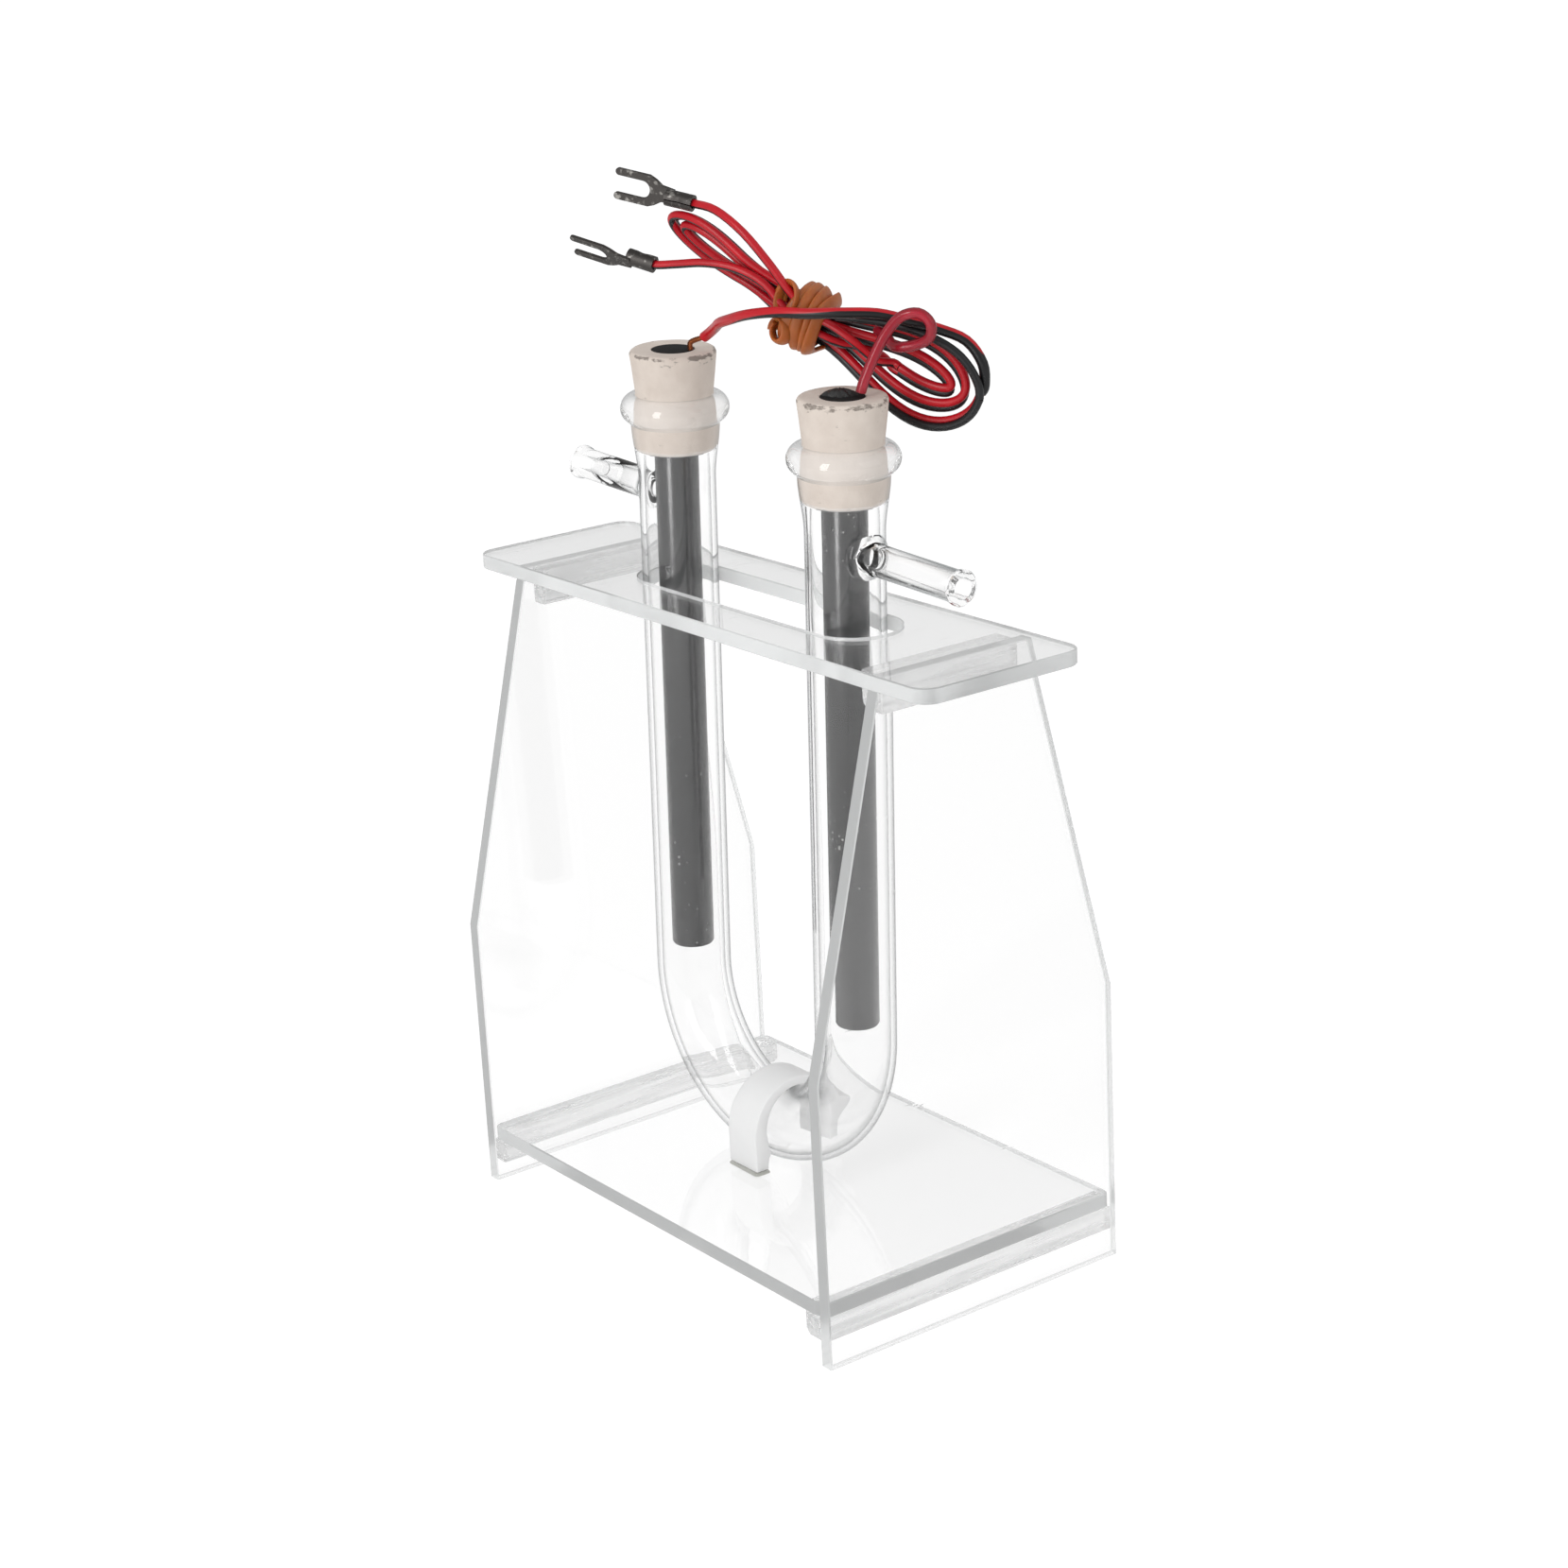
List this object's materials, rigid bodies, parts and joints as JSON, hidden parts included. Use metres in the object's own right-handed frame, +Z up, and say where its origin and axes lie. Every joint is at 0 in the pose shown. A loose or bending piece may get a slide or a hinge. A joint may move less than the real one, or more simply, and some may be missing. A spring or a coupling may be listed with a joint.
{
  "type": "u-tube electrolysis apparatus",
  "caption": "Glass U-tube electrolysis cell with side arms in a clear acrylic stand, with carbon rod electrodes in rubber stoppers and a tied hank of lead wire with fork terminals.",
  "frame": {"origin": "middle of the stand's footprint, on the surface it stands on", "axes": "+X along the stand, from the left side panel to the right one; +Y across it, away from the clip's glued foot; +Z up"},
  "size_m": [0.142, 0.07, 0.2084],
  "materials": {
    "acrylic": "clear gloss acrylic sheet",
    "glass": "clear polished glass",
    "clip_plastic": "satin translucent white",
    "glue": "clear set glue",
    "rubber": "matt",
    "carbon": "drawn carbon, dull sheen",
    "copper": "bare stranded copper",
    "seal": "rough set putty",
    "wire_clear_red": "gloss soft plastic",
    "wire_red": "gloss soft plastic",
    "wire_black": "gloss soft plastic",
    "terminal": "tinned sheet metal, dull",
    "band": "translucent natural rubber"
  },
  "bodies": {
    "stand": {"base_plate": "acrylic", "side_panel_left": "acrylic", "side_panel_right": "acrylic", "top_plate": "acrylic", "base_strip_left": "acrylic", "base_strip_right": "acrylic", "top_strip_left": "acrylic", "top_strip_right": "acrylic", "u_tube": "glass", "tube_clip": "clip_plastic", "clip_glue": "glue"},
    "electrode_left": {"stopper_left": "rubber", "carbon_rod_left": "carbon", "copper_tail_left": "copper", "lead_left": "wire_clear_red", "lead_black": "wire_black", "hank_red": "wire_red", "hank_black": "wire_black", "terminal_lead_red": "wire_red", "terminal_lead_black": "wire_black", "fork_terminal_upper": "terminal", "fork_terminal_lower": "terminal", "rubber_band": "band"},
    "electrode_right": {"stopper_right": "rubber", "carbon_rod_right": "carbon", "rod_seal_right": "seal", "lead_right": "wire_clear_red"}
  },
  "joints": [
    {"name": "electrode_left_lift", "type": "slide", "parent": "stand", "child": "electrode_left", "axis": [0.0436, 0, 0.999], "range_m": [0, 0.12]},
    {"name": "electrode_right_lift", "type": "slide", "parent": "stand", "child": "electrode_right", "axis": [0.0436, 0, 0.999], "range_m": [0, 0.12]}
  ],
  "couplings": [
    {"joint": "electrode_right_lift", "follows": "electrode_left_lift", "ratio": 1}
  ]
}
